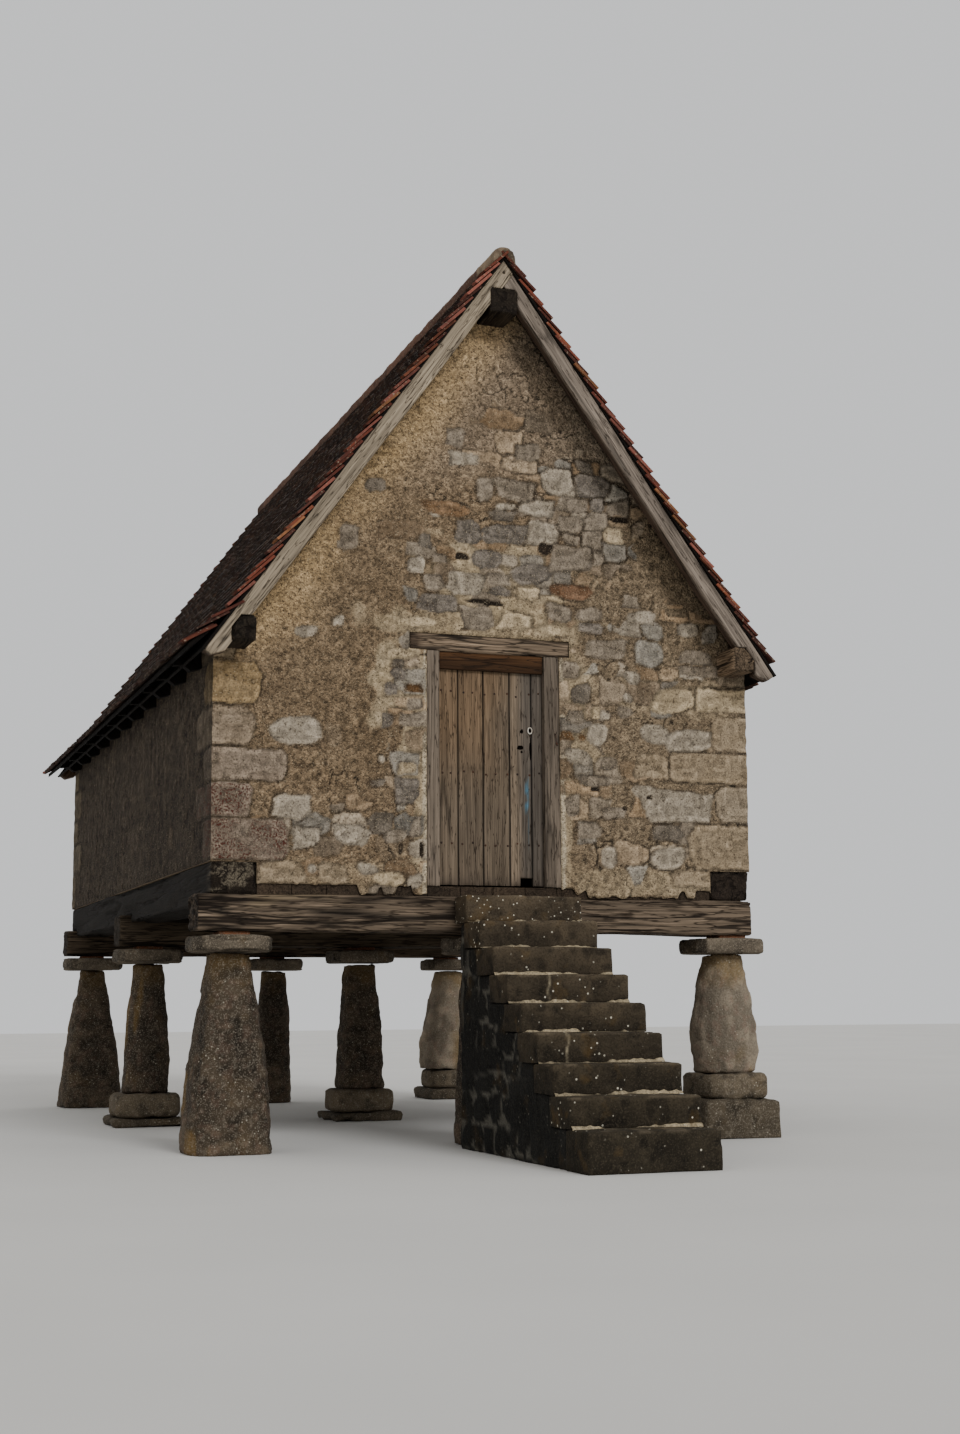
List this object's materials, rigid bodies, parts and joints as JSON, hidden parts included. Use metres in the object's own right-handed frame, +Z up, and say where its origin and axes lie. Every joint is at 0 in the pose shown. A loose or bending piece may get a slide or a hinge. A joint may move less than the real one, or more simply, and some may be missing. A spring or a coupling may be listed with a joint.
{
  "type": "raised granary",
  "caption": "Small rubble-stone granary with a steep tiled roof, raised on tapered stone pillars with flat cap stones, with a boarded door and a straight stone stair.",
  "frame": {"origin": "on the ground under the centre pillar, half way between the outer faces of the gable walls", "axes": "+X to the right seen from the stair, +Y from the door to the back, +Z up"},
  "size_m": [4.9176, 10.246, 7.0063],
  "materials": {
    "pillar_stone": "coarse weathered stone",
    "cap_stone": "weathered stone",
    "wall_masonry": "rubble with lime render",
    "step_stone": "dark lichened stone",
    "beam_oak": "weathered, deeply cracked",
    "roof_oak": "silver weathered",
    "roof_inner_wood": "dark, unpainted",
    "floor_wood": "dark, unpainted",
    "door_wood": "grey-brown, worn",
    "clay_tile": "matt, lichened",
    "ridge_tile": "matt, mortar bedded",
    "iron": "rusted wrought iron"
  },
  "bodies": {
    "building": {"back_wall": "wall_masonry", "base_stones": "pillar_stone", "cap_stones": "cap_stone", "cross_beam_back": "beam_oak", "cross_beam_front": "beam_oak", "cross_beam_middle": "beam_oak", "door_head_rail": "door_wood", "door_jambs": "door_wood", "eave_board": "roof_inner_wood", "eave_sprockets": "roof_inner_wood", "floor_planks": "floor_wood", "footings": "pillar_stone", "front_gable": "wall_masonry", "front_wall_left": "wall_masonry", "front_wall_right": "wall_masonry", "hinge_pintles": "iron", "lintel_inner": "beam_oak", "lintel_outer": "beam_oak", "pillars_back": "pillar_stone", "pillars_front": "pillar_stone", "pillars_middle": "pillar_stone", "rafter_pegs": "roof_oak", "rafters_left": "roof_inner_wood", "rafters_right": "roof_inner_wood", "ridge_beam": "beam_oak", "ridge_tiles": "ridge_tile", "roof_boards_left": "roof_inner_wood", "roof_boards_right": "roof_inner_wood", "roof_tiles_left": "clay_tile", "roof_tiles_right": "clay_tile", "shims": "cap_stone", "side_beam_left": "beam_oak", "side_beam_right": "beam_oak", "side_wall_left": "wall_masonry", "side_wall_right": "wall_masonry", "stair_core": "step_stone", "step_1": "step_stone", "step_2": "step_stone", "step_3": "step_stone", "step_4": "step_stone", "step_5": "step_stone", "step_6": "step_stone", "step_7": "step_stone", "step_8": "step_stone", "step_9": "step_stone", "verge_rafters_left": "roof_oak", "verge_rafters_right": "roof_oak", "wall_plate_left": "beam_oak", "wall_plate_right": "beam_oak"},
    "door_leaf": {"door_boards": "door_wood", "door_ledges": "door_wood", "hinge_straps": "iron"}
  },
  "joints": [
    {"name": "door_hinge", "type": "hinge", "parent": "building", "child": "door_leaf", "pos_m": [-0.478, -3.545, 2.28], "axis": [0, 0, 1], "range_deg": [0, 100]}
  ]
}
